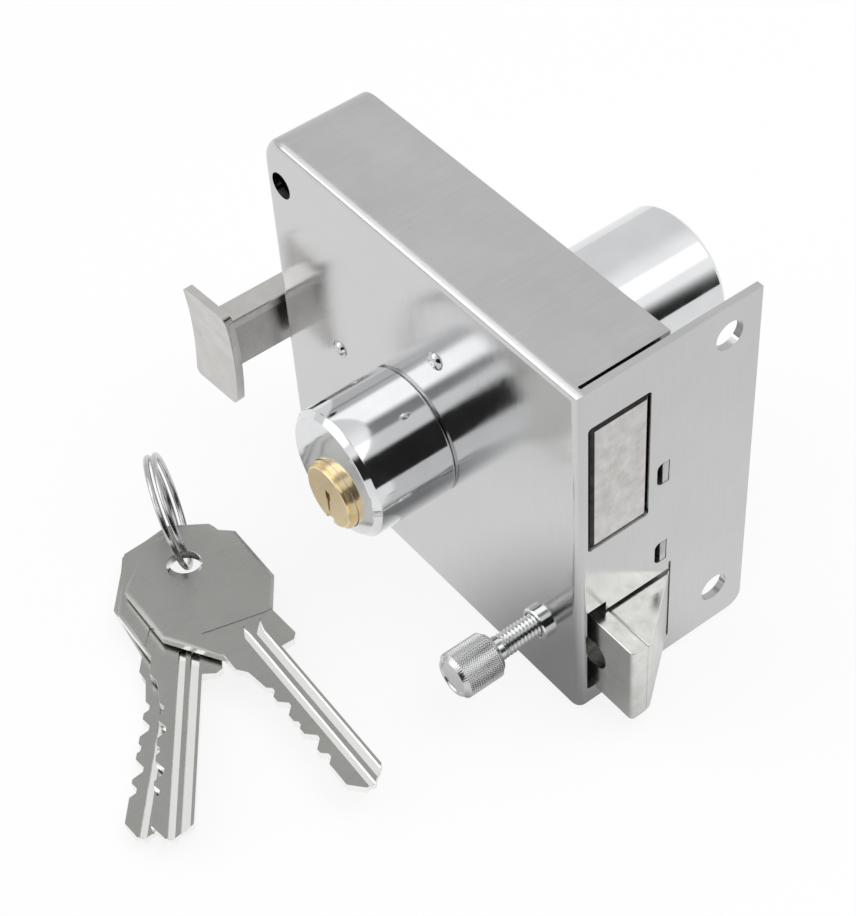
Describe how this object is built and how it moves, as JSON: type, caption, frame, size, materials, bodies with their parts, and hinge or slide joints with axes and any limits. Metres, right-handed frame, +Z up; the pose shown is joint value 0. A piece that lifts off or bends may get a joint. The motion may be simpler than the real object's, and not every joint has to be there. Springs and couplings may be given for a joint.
{
  "type": "rim box lock",
  "caption": "Surface-mounted door lock with a square bolt, a spring latch with pull handle, a key cylinder on each side, a hold-back screw and keys on a ring.",
  "frame": {"origin": "on the common axis of the two cylinder bodies, in the plane of the case's rim that lies on the door", "axes": "+X leaves the forend the way the bolt is thrown, +Y goes through the door along the outer cylinder, +Z is up"},
  "size_m": [0.1145, 0.1469, 0.084],
  "materials": {
    "satin_nickel": "satin nickel plate",
    "zinc_plated_steel": "zinc plate",
    "polished_chrome": "polished plate",
    "brass": "turned brass",
    "spring_steel": "bright drawn wire",
    "bare_steel": "pressed, mottled",
    "cast_zinc": "cast and satin plated",
    "nickel_key": "nickel plate"
  },
  "bodies": {
    "lock_case": {"case_shell": "satin_nickel", "back_plate": "zinc_plated_steel", "back_plate_screws": "zinc_plated_steel", "bolt_guide_post": "satin_nickel", "tail_guide_post": "satin_nickel", "inner_cylinder_body": "polished_chrome", "inner_driver_pins": "brass", "inner_pin_springs": "spring_steel", "inner_cylinder_screws": "zinc_plated_steel", "outer_cylinder_body": "polished_chrome", "outer_driver_pins": "brass", "outer_pin_springs": "spring_steel", "outer_cylinder_screws": "zinc_plated_steel", "detent_spring": "spring_steel", "latch_spring": "spring_steel", "thumb_bush": "polished_chrome", "key_ring": "spring_steel"},
    "bolt": {"bolt_head": "bare_steel", "bolt_tail": "bare_steel", "bolt_rivets": "bare_steel"},
    "inner_plug_set": {"inner_plug": "brass", "inner_key_pins": "brass", "inner_cam": "zinc_plated_steel"},
    "outer_plug_set": {"outer_plug": "brass", "outer_key_pins": "brass", "outer_cam": "zinc_plated_steel"},
    "latch": {"latch_slide": "satin_nickel", "latch_nose": "satin_nickel", "latch_rivets": "satin_nickel", "latch_spring_rod": "zinc_plated_steel", "pull_handle": "cast_zinc", "handle_rivets": "bare_steel"},
    "thumb_screw": {"thumb_stem": "polished_chrome"},
    "thumb_screw_knob": {"thumb_knob": "polished_chrome"},
    "key_1": {"key_1": "nickel_key"},
    "key_2": {"key_2": "nickel_key"},
    "key_3": {"key_3": "nickel_key"}
  },
  "joints": [
    {"name": "bolt_slide", "type": "slide", "parent": "lock_case", "child": "bolt", "axis": [1, 0, 0], "range_m": [0, 0.018]},
    {"name": "inner_plug_turn", "type": "hinge", "parent": "lock_case", "child": "inner_plug_set", "pos_m": [0, -0.0305, -0.0045], "axis": [0, 1, 0], "range_deg": [0, 90]},
    {"name": "outer_plug_turn", "type": "hinge", "parent": "lock_case", "child": "outer_plug_set", "pos_m": [0, 0.03, -0.0045], "axis": [0, 1, 0], "range_deg": [0, 90]},
    {"name": "latch_slide", "type": "slide", "parent": "lock_case", "child": "latch", "axis": [-1, 0, 0], "range_m": [0, 0.0113], "stiffness_N_per_m": 400, "springref_m": -0.006, "deforming": ["latch_spring"]},
    {"name": "thumb_screw_feed", "type": "slide", "parent": "lock_case", "child": "thumb_screw", "axis": [0, 1, 0], "range_m": [-0.003, 0.0008]},
    {"name": "thumb_knob_turn", "type": "hinge", "parent": "thumb_screw", "child": "thumb_screw_knob", "pos_m": [0.0363, -0.0375, -0.0216], "axis": [0, 1, 0], "range_deg": [-1350, 360]},
    {"name": "key_1_swing", "type": "hinge", "parent": "lock_case", "child": "key_1", "pos_m": [-0.0229, -0.0615, -0.0302], "axis": [0, 0, 1], "range_deg": [-8, 8]},
    {"name": "key_2_swing", "type": "hinge", "parent": "lock_case", "child": "key_2", "pos_m": [-0.0259, -0.0597, -0.0327], "axis": [0, 0, 1], "range_deg": [-8, 8]},
    {"name": "key_3_swing", "type": "hinge", "parent": "lock_case", "child": "key_3", "pos_m": [-0.0277, -0.0588, -0.0352], "axis": [0, 0, 1], "range_deg": [-8, 8]}
  ],
  "couplings": [
    {"joint": "inner_plug_turn", "follows": "bolt_slide", "rad_per_m": 87.266},
    {"joint": "outer_plug_turn", "follows": "bolt_slide", "rad_per_m": 87.266},
    {"joint": "thumb_knob_turn", "follows": "thumb_screw_feed", "rad_per_m": 7854}
  ]
}
